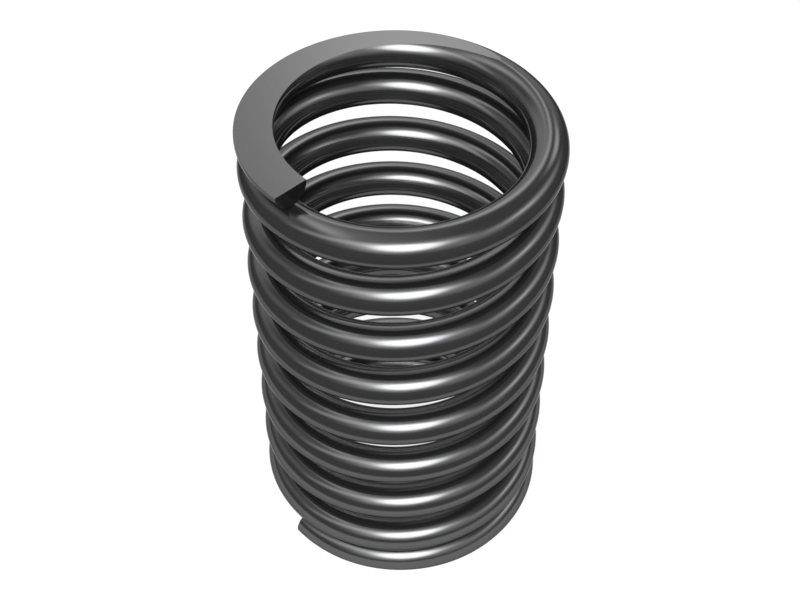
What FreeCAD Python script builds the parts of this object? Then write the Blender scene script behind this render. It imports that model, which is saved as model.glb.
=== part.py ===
# Closed-and-ground compression spring, wound right-handed from one length of round steel wire.
# The frame has +Z up the axis of the coil, and its origin is the centre of the lower ground end.
import FreeCAD, Part
import math
import os

import Sketcher

PART_NAME = "coil_spring"
FULL_TURN = 2 * math.pi

# Driving dimensions: cell alias, value in millimetres, degrees or turns, and what it is
SIZES = [
    ("wire_diameter", 4.0, "drawn wire"),
    ("outside_diameter", 33.75, "over the coils"),
    ("free_length", 54.4, "between the two ground ends, unloaded"),
    ("whole_turns", 9, "turns up to the lower end's own azimuth"),
    ("lower_end_azimuth", 220.4, "where the wire is cut off at the bottom"),
    ("upper_end_azimuth", 225.1, "where the wire is cut off at the top"),
    ("closed_turns", 0.87, "turns at each end wound against their neighbour"),
    ("opening_turns", 0.32, "turns over which the pitch then grows to that of the active coils"),
    ("closed_gap", 0.01, "left between one closed turn and the next"),
    ("tip_thickness", 2.0, "wire left at each cut end by the grinding"),
]


def make_sheet(doc):
    """Writes the driving dimensions into a spreadsheet, one row each."""
    sheet = doc.addObject("Spreadsheet::Sheet", "Sizes")
    for row, (alias, value, note) in enumerate(SIZES, start=1):
        sheet.set(f"A{row}", note)
        sheet.set(f"B{row}", str(value))
        sheet.setAlias(f"B{row}", alias)
    doc.recompute()
    return sheet


class CoilLine:
    """The centre line of the wire, drawn unrolled: height against the angle from the lower end.

    A closed turn rises by one wire each time round, and the active turns share what is left of
    the free length. In between, the slope grows evenly with the angle, so that stretch is a
    parabola. The upper half is the lower half turned end for end.
    """

    def __init__(self, sizes):
        self.radius = (sizes.outside_diameter - sizes.wire_diameter) / 2
        self.first_azimuth = math.radians(sizes.lower_end_azimuth)
        last_azimuth = math.radians(sizes.upper_end_azimuth)
        self.length = FULL_TURN * sizes.whole_turns + last_azimuth - self.first_azimuth
        self.bottom = sizes.tip_thickness - sizes.wire_diameter / 2
        self.top = sizes.free_length - self.bottom
        self.opening = FULL_TURN * sizes.closed_turns
        self.opened = self.opening + FULL_TURN * sizes.opening_turns
        self.closed_slope = (sizes.wire_diameter + sizes.closed_gap) / FULL_TURN
        left_over = self.top - self.bottom - self.closed_slope * self.length
        self.active_slope = self.closed_slope + left_over / (self.length - self.opening - self.opened)

    def height(self, angle):
        """Height of the centre line; the active coils are a straight line through the middle."""
        from_end = min(angle, self.length - angle)
        if from_end >= self.opened:
            return (self.bottom + self.top) / 2 + self.active_slope * (angle - self.length / 2)
        rise = self.closed_slope * from_end
        if from_end > self.opening:
            growth = (self.active_slope - self.closed_slope) / (self.opened - self.opening)
            rise += growth * (from_end - self.opening) ** 2 / 2
        return self.bottom + rise if angle < self.length / 2 else self.top - rise

    def point(self, angle):
        return FreeCAD.Base.Vector2d(self.first_azimuth + angle, self.height(angle))

    def straight(self, start, end):
        return Part.Geom2d.Line2dSegment(self.point(start), self.point(end))

    def parabola(self, start, end, slope_at_start):
        """The parabola as a quadratic Bezier curve, whose corner is where the end tangents meet."""
        first = self.point(start)
        half = (end - start) / 2
        corner = FreeCAD.Base.Vector2d(first.x + half, first.y + slope_at_start * half)
        curve = Part.Geom2d.BezierCurve2d()
        curve.setPoles([first, corner, self.point(end)])
        return curve

    def wire(self):
        """Rolls the line up on its cylinder, with the active stretch cut into equal coils."""
        closing = self.length - self.opened
        closed = self.length - self.opening
        coils = max(1, round((closing - self.opened) / FULL_TURN))
        stops = [self.opened + (closing - self.opened) * i / coils for i in range(coils + 1)]
        curves = [self.straight(0, self.opening)]
        curves.append(self.parabola(self.opening, self.opened, self.closed_slope))
        curves += [self.straight(start, end) for start, end in zip(stops, stops[1:])]
        curves.append(self.parabola(closing, closed, self.active_slope))
        curves.append(self.straight(closed, self.length))
        cylinder = Part.Cylinder()
        cylinder.Radius = self.radius
        return Part.Wire([curve.toShape(cylinder) for curve in curves])


def circle_sketch(body, name, diameter):
    """A circle about the sketch's own origin, with its diameter bound to an expression."""
    sketch = body.newObject("Sketcher::SketchObject", name)
    sketch.addGeometry(Part.Circle(FreeCAD.Vector(), FreeCAD.Vector(0, 0, 1), 1), False)
    sketch.addConstraint(Sketcher.Constraint("Coincident", 0, 3, -1, 1))
    sketch.addConstraint(Sketcher.Constraint("Diameter", 0, 2))
    sketch.setExpression("Constraints[1]", diameter)
    return sketch


def wind_wire(doc, body, sizes):
    """Sweeps the round section of the wire along the coil line."""
    line = doc.addObject("Part::Feature", "CoilLine")
    line.Shape = CoilLine(sizes).wire()
    spine = body.newObject("PartDesign::SubShapeBinder", "Spine")
    spine.Support = [(line, "")]
    doc.recompute()

    section = circle_sketch(body, "WireSection", "Sizes.wire_diameter")
    section.AttachmentSupport = [(spine, "Edge1")]
    section.MapMode = "NormalToEdge"
    section.MapPathParameter = 0
    wound = body.newObject("PartDesign::AdditivePipe", "WoundWire")
    wound.Profile = section
    wound.Spine = (spine, [f"Edge{i + 1}" for i in range(len(spine.Shape.Edges))])
    wound.Mode = "Frenet"
    doc.recompute()
    return wound


def grind_end(doc, body, name, height, upwards):
    """Grinds away all the wire that lies beyond one end plane, and returns the pocket."""
    plane = next(f for f in body.Origin.OriginFeatures if f.Role == "XY_Plane")
    outline = circle_sketch(body, name + "Outline", "Sizes.outside_diameter + Sizes.wire_diameter")
    outline.AttachmentSupport = [(plane, "")]
    outline.MapMode = "FlatFace"
    outline.setExpression("AttachmentOffset.Base.z", height)
    before = body.Shape.Volume
    ground = body.newObject("PartDesign::Pocket", name)
    ground.Profile = outline
    ground.Type = "ThroughAll"
    ground.Reversed = upwards
    doc.recompute()
    if not ground.Shape.Volume < before:
        raise RuntimeError(f"{name} removed no material")
    return ground


def check(doc, parts):
    """Stops if a feature failed or a finished piece is not one valid solid."""
    for feature in doc.Objects:
        if {"Invalid", "Error"} & set(feature.State):
            raise RuntimeError(f"{feature.Label} failed: {feature.State}")
    for part in parts:
        shape = part.Shape
        if shape.isNull() or not shape.isValid() or len(shape.Solids) != 1:
            raise RuntimeError(f"{part.Label} is not one valid solid")


doc = FreeCAD.newDocument("CompressionSpring")
sizes = make_sheet(doc)
spring = doc.addObject("PartDesign::Body", "Spring")
spring.Label = PART_NAME
wind_wire(doc, spring, sizes)
grind_end(doc, spring, "LowerGrinding", "0", False)
grind_end(doc, spring, "UpperGrinding", "Sizes.free_length", True)
doc.recompute()
check(doc, [spring])

os.makedirs("parts", exist_ok=True)
spring.Shape.exportStep(f"parts/{spring.Label}.step")
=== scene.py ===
import math

import bmesh
import bpy
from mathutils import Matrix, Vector


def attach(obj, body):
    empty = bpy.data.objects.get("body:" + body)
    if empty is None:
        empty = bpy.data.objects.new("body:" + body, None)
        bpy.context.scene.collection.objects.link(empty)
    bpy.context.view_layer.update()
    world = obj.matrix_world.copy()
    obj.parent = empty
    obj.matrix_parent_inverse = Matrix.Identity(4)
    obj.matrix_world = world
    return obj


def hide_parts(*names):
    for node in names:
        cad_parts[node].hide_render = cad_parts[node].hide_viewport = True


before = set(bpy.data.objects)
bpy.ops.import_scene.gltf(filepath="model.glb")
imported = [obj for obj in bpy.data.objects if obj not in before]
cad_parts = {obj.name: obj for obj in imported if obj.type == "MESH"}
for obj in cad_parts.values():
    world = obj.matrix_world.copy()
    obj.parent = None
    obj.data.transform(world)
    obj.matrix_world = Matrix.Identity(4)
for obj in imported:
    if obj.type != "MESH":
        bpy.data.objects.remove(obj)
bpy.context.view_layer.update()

MM = 0.001
FULL_TURN = 2 * math.pi
WHITE = (1, 1, 1, 1)

# The spring, with the sizes that its CAD solid was built from. Angles run along the wire from
# its lower cut end, and each rise is for one radian of them.
WIRE_RADIUS = 2.0 * MM
COIL_RADIUS = 14.875 * MM
FREE_LENGTH = 54.4 * MM
LOWER_AZIMUTH = math.radians(220.4)
UPPER_AZIMUTH = math.radians(225.1)
WHOLE_TURNS = 9
CLOSED_TURNS = 0.87
OPENING_TURNS = 0.32
CLOSED_GAP = 0.01 * MM
WIRE_ANGLE = WHOLE_TURNS * FULL_TURN + UPPER_AZIMUTH - LOWER_AZIMUTH
CLOSED_ANGLE = CLOSED_TURNS * FULL_TURN
OPENED_ANGLE = CLOSED_ANGLE + OPENING_TURNS * FULL_TURN
CLOSED_RISE = (2 * WIRE_RADIUS + CLOSED_GAP) / FULL_TURN
ACTIVE_RISE = CLOSED_RISE + (FREE_LENGTH - CLOSED_RISE * WIRE_ANGLE) / (
    WIRE_ANGLE - CLOSED_ANGLE - OPENED_ANGLE
)
RISE_GROWTH = (ACTIVE_RISE - CLOSED_RISE) / (OPENED_ANGLE - CLOSED_ANGLE)

# How finely the wire is meshed, and how near to a grinding plane a vertex counts as on it
RINGS_PER_TURN = 144
POINTS_ROUND_WIRE = 48
CUT_TOLERANCE = 1e-7

# The spring's three finishes, in the order of its material slots
DRAWN, GROUND, SHEARED = range(3)

# How fine the finishes' patterns are. The drawing lines are stretched along the wire, to 50
# times what they measure across it.
LINES_PER_MM = 5.0
LINE_STRETCH = (1, 1, 0.02)
OXIDE_PATCHES_PER_MM = 0.3
ARCS_PER_MM = 4.0
GRAINS_PER_MM = 3.0

# How much the dark oxide lets the steel reflect at a glancing angle, against clean metal
EDGE_TINT = (0.42, 0.42, 0.42, 1)

# The middle of the grinding wheels, which the arcs on the ground faces curve about
WHEEL_CENTRE = (0.18, -0.06, 0.03)

# Sockets of a Mix node that mixes colours: it has others of the same names for plain numbers
MIX_SHARE, MIX_FIRST, MIX_SECOND, MIX_RESULT = 0, 6, 7, 2

# The photograph's own view, for a lens and a sensor that are given in millimetres
CAMERA_PLACE = Vector((-0.224, -103.147, 132.217)) * MM
CAMERA_TILT = math.radians(45.024)
CAMERA_LENS = 57.779
SENSOR_WIDTH = 36
NEAREST_SEEN, FURTHEST_SEEN = 0.01, 20

# The room's own grey, where 1 is white
ROOM_TONE = 0.231

# Soft boxes round the spring: azimuth and elevation of the middle as the spring sees it, width,
# height and turn in degrees, how soft the edge is, and how bright it is, where 1 is white
SOFT_BOXES = {
    "key": (269.0, 40.9, 36.9, 35.0, 10, 0.63, 7.28),
    "key_glow": (268.4, 42.5, 67.3, 50.4, 45, 0.58, 0.64),
    "left_of_key": (242.6, 50.1, 81.2, 17.4, 15, 2.00, 2.12),
    "above_key": (220.6, 67.7, 130.0, 37.9, -37, 2.00, 0.54),
    "right_low": (359.9, 27.8, 51.3, 17.5, -9, 1.99, 1.73),
    "right_core": (352.8, 29.1, 20.8, 5.8, -5, 0.58, 1.80),
    "right_high": (284.1, 32.7, 102.2, 39.9, -6, 1.59, 0.77),
    "arch": (157.6, 61.2, 53.9, 11.6, 11, 1.99, 1.57),
    "spot": (54.2, 35.4, 12.3, 13.8, -20, 2.00, 2.83),
    "back": (87.8, 38.6, 19.4, 8.4, -63, 2.00, 2.19),
    "back_right": (100.6, 17.7, 83.1, 46.2, 5, 1.16, 0.93),
    "back_low": (81.9, 17.9, 36.2, 9.6, 74, 2.00, 0.79),
    "back_left": (167.7, 26.2, 42.7, 18.5, 32, 2.00, 0.40),
}

# Keeps a soft box from showing on the opposite side of the room too
LEAST_AHEAD = 0.001

# The floor: matt paper, grey far off and white in a round pool that holds all of it that the
# photograph would show. The pool's glow adds to the light that the paper gives back.
FLOOR_REACH = 4.0
PAPER_GREY = "#737373"
POOL_CENTRE = (0, 64 * MM, 0)
POOL_RADIUS = 98 * MM
POOL_FADE = 12 * MM
POOL_GLOW = 0.82


def linear(hex_colour):
    """An sRGB hex colour as the linear RGBA that the shaders take."""
    channels = [int(hex_colour[i : i + 2], 16) / 255 for i in (1, 3, 5)]
    return [
        c / 12.92 if c <= 0.04045 else ((c + 0.055) / 1.055) ** 2.4 for c in channels
    ] + [1.0]


def add_node(tree, kind, settings=None, values=None, links=None):
    """Adds one node with its settings, the values of its sockets and the links into them."""
    node = tree.nodes.new(kind)
    for name, setting in (settings or {}).items():
        setattr(node, name, setting)
    for socket, value in (values or {}).items():
        node.inputs[socket].default_value = value
    for socket, source in (links or {}).items():
        tree.links.new(source, node.inputs[socket])
    return node


def new_material(name):
    """An empty material, its node tree and its output node."""
    material = bpy.data.materials.new(name)
    material.use_nodes = True
    tree = material.node_tree
    tree.nodes.clear()
    return material, tree, add_node(tree, "ShaderNodeOutputMaterial")


def new_object(name, data):
    """An object in the scene that holds this mesh or camera."""
    thing = bpy.data.objects.new(name, data)
    bpy.context.collection.objects.link(thing)
    return thing


def centre_height(angle):
    """Height of the wire's centre line: slow at the closed ends, steady in the active coils."""
    from_end = min(angle, WIRE_ANGLE - angle)
    if from_end >= OPENED_ANGLE:
        return FREE_LENGTH / 2 + ACTIVE_RISE * (angle - WIRE_ANGLE / 2)
    rise = CLOSED_RISE * from_end
    if from_end > CLOSED_ANGLE:
        rise += RISE_GROWTH * (from_end - CLOSED_ANGLE) ** 2 / 2
    return rise if angle < WIRE_ANGLE / 2 else FREE_LENGTH - rise


def centre_rise(angle):
    """Rise of the centre line for each radian."""
    from_end = min(angle, WIRE_ANGLE - angle)
    if from_end >= OPENED_ANGLE:
        return ACTIVE_RISE
    return CLOSED_RISE + RISE_GROWTH * max(0.0, from_end - CLOSED_ANGLE)


def wire_section(angle):
    """Centre of the wire's section at this angle, and its outward and upward directions."""
    cos, sin = math.cos(LOWER_AZIMUTH + angle), math.sin(LOWER_AZIMUTH + angle)
    centre = Vector((COIL_RADIUS * cos, COIL_RADIUS * sin, centre_height(angle)))
    outward = Vector((cos, sin, 0))
    along = Vector((-COIL_RADIUS * sin, COIL_RADIUS * cos, centre_rise(angle))).normalized()
    return centre, outward, outward.cross(along)


def wind_wire(mesh):
    """The round wire as a closed tube.

    Every vertex also keeps its place on the straight bar that it was before winding, in
    millimetres, so that the drawing lines can run along the wire.
    """
    ring_count = round(RINGS_PER_TURN * WIRE_ANGLE / FULL_TURN) + 1
    wound_angle = mesh.verts.layers.float.new("wound_angle")
    straight_bar = mesh.verts.layers.float_vector.new("straight_bar")
    rings = []
    for i in range(ring_count):
        angle = WIRE_ANGLE * i / (ring_count - 1)
        centre, outward, upward = wire_section(angle)
        ring = []
        for k in range(POINTS_ROUND_WIRE):
            turn = FULL_TURN * k / POINTS_ROUND_WIRE
            across = WIRE_RADIUS * math.cos(turn), WIRE_RADIUS * math.sin(turn)
            vertex = mesh.verts.new(centre + outward * across[0] + upward * across[1])
            vertex[wound_angle] = angle
            vertex[straight_bar] = Vector((*across, angle * COIL_RADIUS)) / MM
            ring.append(vertex)
        rings.append(ring)
    for lower, upper in zip(rings, rings[1:]):
        for k in range(POINTS_ROUND_WIRE):
            after = (k + 1) % POINTS_ROUND_WIRE
            mesh.faces.new((lower[after], lower[k], upper[k], upper[after])).smooth = True
    mesh.faces.new(rings[0]).material_index = SHEARED
    mesh.faces.new(rings[-1][::-1]).material_index = SHEARED
    mesh.normal_update()


def grind_flat(mesh, height, outside):
    """Takes off the wire beyond one end plane and closes the cut with a flat ground face."""
    cut = bmesh.ops.bisect_plane(
        mesh,
        geom=mesh.verts[:] + mesh.edges[:] + mesh.faces[:],
        dist=CUT_TOLERANCE,
        plane_co=(0, 0, height),
        plane_no=outside,
        clear_outer=True,
    )
    rim = [e for e in cut["geom_cut"] if isinstance(e, bmesh.types.BMEdge) and e.is_boundary]
    flat = bmesh.ops.triangle_fill(mesh, edges=rim, use_beauty=True, normal=outside)
    for face in flat["geom"]:
        if isinstance(face, bmesh.types.BMFace):
            face.material_index = GROUND
            face.smooth = False


def make_spring():
    """The whole spring as one closed mesh, with exact shading normals on the round wire."""
    mesh = bmesh.new()
    wind_wire(mesh)
    grind_flat(mesh, 0, (0, 0, -1))
    grind_flat(mesh, FREE_LENGTH, (0, 0, 1))
    wound_angle = mesh.verts.layers.float["wound_angle"]
    normals = []
    for face in mesh.faces:
        for corner in face.loops:
            if face.material_index == DRAWN:
                centre = wire_section(corner.vert[wound_angle])[0]
                normals.append((corner.vert.co - centre).normalized())
            else:
                normals.append(face.normal.copy())
    data = bpy.data.meshes.new("wound_spring")
    mesh.to_mesh(data)
    mesh.free()
    data.normals_split_custom_set(normals)
    return new_object("wound_spring", data)


def finish_steel(tree, output, tone, gloss, relief, metallic=1.0):
    """Ends a material as dark steel.

    Each of tone, gloss and relief is a pattern and what it is turned into: two colours, two
    roughnesses, or the strength and the depth of the bumps.
    """
    pattern, darker, lighter = tone
    colour = add_node(
        tree,
        "ShaderNodeMix",
        settings={"data_type": "RGBA"},
        values={MIX_FIRST: linear(darker), MIX_SECOND: linear(lighter)},
        links={MIX_SHARE: pattern},
    )
    pattern, smoothest, roughest = gloss
    roughness = add_node(
        tree,
        "ShaderNodeMapRange",
        values={"To Min": smoothest, "To Max": roughest},
        links={"Value": pattern},
    )
    pattern, strength, depth = relief
    bumps = add_node(
        tree,
        "ShaderNodeBump",
        values={"Strength": strength, "Distance": depth},
        links={"Height": pattern},
    )
    steel = add_node(
        tree,
        "ShaderNodeBsdfPrincipled",
        values={"Metallic": metallic, "Specular Tint": EDGE_TINT},
        links={
            "Base Color": colour.outputs[MIX_RESULT],
            "Roughness": roughness.outputs[0],
            "Normal": bumps.outputs[0],
        },
    )
    tree.links.new(steel.outputs[0], output.inputs[0])


def oil_tempered_wire():
    """Carbon steel wire, drawn through dies and tempered in oil.

    The thin dark oxide keeps the gloss of the drawn steel, so the eye sees black-grey metal
    with clear highlights that fade softly at their edges. It also scatters a little light,
    which lifts the gaps between the coils, so the wire is not quite all metal. The drawing
    lines are about 0.02 mm apart on real wire, too fine to show here, so they are drawn 0.2 mm
    apart and faint. The oxide's own tone drifts over about 3 mm.
    """
    material, tree, output = new_material("oil_tempered_drawn_steel_wire")
    bar = add_node(tree, "ShaderNodeAttribute", settings={"attribute_name": "straight_bar"})
    stretched = add_node(
        tree,
        "ShaderNodeVectorMath",
        settings={"operation": "MULTIPLY"},
        values={1: LINE_STRETCH},
        links={0: bar.outputs["Vector"]},
    )
    lines = add_node(
        tree,
        "ShaderNodeTexNoise",
        values={"Scale": LINES_PER_MM, "Detail": 3.0},
        links={"Vector": stretched.outputs[0]},
    )
    oxide = add_node(
        tree,
        "ShaderNodeTexNoise",
        values={"Scale": OXIDE_PATCHES_PER_MM, "Detail": 2.0},
        links={"Vector": bar.outputs["Vector"]},
    )
    finish_steel(
        tree,
        output,
        tone=(oxide.outputs[0], "#5e5e5f", "#626262"),
        gloss=(lines.outputs[0], 0.165, 0.19),
        relief=(lines.outputs[0], 0.04, 0.002 * MM),
        metallic=0.94,
    )
    return material


def ground_end_face():
    """The same steel, ground flat between two wheels.

    It is a little lighter and a little duller than the wire, with an even sheen. The wheels
    leave shallow arcs about 0.05 mm apart, too fine to show here, so they are drawn 0.25 mm
    apart.
    """
    material, tree, output = new_material("wheel_ground_steel_face")
    place = add_node(tree, "ShaderNodeNewGeometry")
    from_wheel = add_node(
        tree,
        "ShaderNodeVectorMath",
        settings={"operation": "DISTANCE"},
        values={1: WHEEL_CENTRE},
        links={0: place.outputs["Position"]},
    )
    arcs = add_node(
        tree,
        "ShaderNodeTexNoise",
        settings={"noise_dimensions": "1D"},
        values={"Scale": ARCS_PER_MM / MM, "Detail": 3.0},
        links={"W": from_wheel.outputs["Value"]},
    )
    finish_steel(
        tree,
        output,
        tone=(arcs.outputs[0], "#666666", "#6a6a6a"),
        gloss=(arcs.outputs[0], 0.19, 0.22),
        relief=(arcs.outputs[0], 0.1, 0.001 * MM),
    )
    return material


def sheared_wire_end():
    """The same steel where the blade cut the wire off.

    It is darker and duller than the wire, with a torn grain about 0.3 mm across.
    """
    material, tree, output = new_material("sheared_steel_wire_end")
    place = add_node(tree, "ShaderNodeNewGeometry")
    grain = add_node(
        tree,
        "ShaderNodeTexNoise",
        values={"Scale": GRAINS_PER_MM / MM, "Detail": 4.0},
        links={"Vector": place.outputs["Position"]},
    )
    finish_steel(
        tree,
        output,
        tone=(grain.outputs[0], "#4c4c4c", "#5c5c5c"),
        gloss=(grain.outputs[0], 0.28, 0.40),
        relief=(grain.outputs[0], 0.3, 0.01 * MM),
    )
    return material


def soft_box(tree, direction, azimuth, elevation, width, height, turn, softness, brightness):
    """The light that comes from one elliptical soft box, as the output of its last node."""
    azimuth, elevation, turn = (math.radians(a) for a in (azimuth, elevation, turn))
    level = Vector((math.cos(azimuth), math.sin(azimuth), 0))
    towards = level * math.cos(elevation) + Vector((0, 0, math.sin(elevation)))
    side = Vector((-level.y, level.x, 0))
    above = towards.cross(side)
    across = math.cos(turn) * side + math.sin(turn) * above
    upward = math.cos(turn) * above - math.sin(turn) * side
    across /= math.tan(math.radians(width) / 2)
    upward /= math.tan(math.radians(height) / 2)
    shares = [
        add_node(
            tree,
            "ShaderNodeVectorMath",
            settings={"operation": "DOT_PRODUCT"},
            values={1: axis},
            links={0: direction},
        ).outputs["Value"]
        for axis in (across, upward, towards)
    ]
    offset = add_node(tree, "ShaderNodeCombineXYZ", links={"X": shares[0], "Y": shares[1]})
    length = add_node(
        tree,
        "ShaderNodeVectorMath",
        settings={"operation": "LENGTH"},
        links={0: offset.outputs[0]},
    )
    ahead = add_node(
        tree,
        "ShaderNodeMath",
        settings={"operation": "MAXIMUM"},
        values={1: LEAST_AHEAD},
        links={0: shares[2]},
    )
    from_middle = add_node(
        tree,
        "ShaderNodeMath",
        settings={"operation": "DIVIDE"},
        links={0: length.outputs["Value"], 1: ahead.outputs[0]},
    )
    light = add_node(
        tree,
        "ShaderNodeMapRange",
        settings={"interpolation_type": "SMOOTHSTEP"},
        values={
            "From Min": 1 - softness / 2,
            "From Max": 1 + softness / 2,
            "To Min": brightness,
            "To Max": 0.0,
        },
        links={"Value": from_middle.outputs[0]},
    )
    return light.outputs[0]


def make_room():
    """A plain grey room with the soft boxes in it."""
    world = bpy.data.worlds.new("grey_room")
    world.use_nodes = True
    tree = world.node_tree
    direction = add_node(tree, "ShaderNodeTexCoord").outputs["Generated"]
    total = add_node(tree, "ShaderNodeValue")
    total.outputs[0].default_value = ROOM_TONE
    for box in SOFT_BOXES.values():
        light = soft_box(tree, direction, *box)
        total = add_node(
            tree,
            "ShaderNodeMath",
            settings={"operation": "ADD"},
            links={0: total.outputs[0], 1: light},
        )
    background = tree.nodes["Background"]
    background.inputs["Color"].default_value = WHITE
    tree.links.new(total.outputs[0], background.inputs["Strength"])
    bpy.context.scene.world = world


def grey_paper_with_painted_glow_pool():
    """Grey matt background paper, made white in a round pool by a painted glow.

    The spring stands in front of plain white, as in the photograph. The grey further out is
    what the lower sides of its wire reflect, and it keeps them dark.
    """
    material, tree, output = new_material("grey_paper_with_painted_glow_pool")
    place = add_node(tree, "ShaderNodeNewGeometry")
    from_pool = add_node(
        tree,
        "ShaderNodeVectorMath",
        settings={"operation": "DISTANCE"},
        values={1: POOL_CENTRE},
        links={0: place.outputs["Position"]},
    )
    # Painted glow: the grey paper turns white in a round pool only through this glow, which
    # only camera, glossy and transmission rays see
    white = add_node(
        tree,
        "ShaderNodeMapRange",
        settings={"interpolation_type": "SMOOTHSTEP"},
        values={
            "From Min": POOL_RADIUS,
            "From Max": POOL_RADIUS + POOL_FADE,
            "To Min": POOL_GLOW,
            "To Max": 0.0,
        },
        links={"Value": from_pool.outputs["Value"]},
    )
    ray = add_node(tree, "ShaderNodeLightPath")
    seen = ray.outputs["Is Camera Ray"]
    for kind in ("Is Glossy Ray", "Is Transmission Ray"):
        either = add_node(
            tree,
            "ShaderNodeMath",
            settings={"operation": "MAXIMUM"},
            links={0: seen, 1: ray.outputs[kind]},
        )
        seen = either.outputs[0]
    strength = add_node(
        tree,
        "ShaderNodeMath",
        settings={"operation": "MULTIPLY"},
        links={0: white.outputs[0], 1: seen},
    )
    glow = add_node(
        tree,
        "ShaderNodeEmission",
        values={"Color": WHITE},
        links={"Strength": strength.outputs[0]},
    )
    # The paper's own colour is one plain grey everywhere, pool included
    paper = add_node(tree, "ShaderNodeBsdfDiffuse", values={"Color": linear(PAPER_GREY)})
    both = add_node(
        tree,
        "ShaderNodeAddShader",
        links={0: paper.outputs[0], 1: glow.outputs[0]},
    )
    tree.links.new(both.outputs[0], output.inputs[0])
    return material


def make_floor():
    """A wide level sheet of the paper, which the spring stands on."""
    quarters = ((-1, -1), (1, -1), (1, 1), (-1, 1))
    corners = [(x * FLOOR_REACH, y * FLOOR_REACH, 0) for x, y in quarters]
    data = bpy.data.meshes.new("paper_floor")
    data.from_pydata(corners, [], [(0, 1, 2, 3)])
    data.materials.append(grey_paper_with_painted_glow_pool())
    new_object("paper_floor", data)


def place_camera():
    """The photograph's own viewing angle: from the front, 45 degrees above the horizon."""
    data = bpy.data.cameras.new("camera")
    data.sensor_width = SENSOR_WIDTH
    data.lens = CAMERA_LENS
    data.clip_start = NEAREST_SEEN
    data.clip_end = FURTHEST_SEEN
    camera = new_object("camera", data)
    camera.location = CAMERA_PLACE
    camera.rotation_euler = (CAMERA_TILT, 0, 0)
    bpy.context.scene.camera = camera


place_camera()
make_room()
make_floor()

spring = make_spring()
for finish in (oil_tempered_wire(), ground_end_face(), sheared_wire_end()):
    spring.data.materials.append(finish)
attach(spring, "root")
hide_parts("coil_spring")

bpy.context.scene.view_settings.view_transform = "Standard"
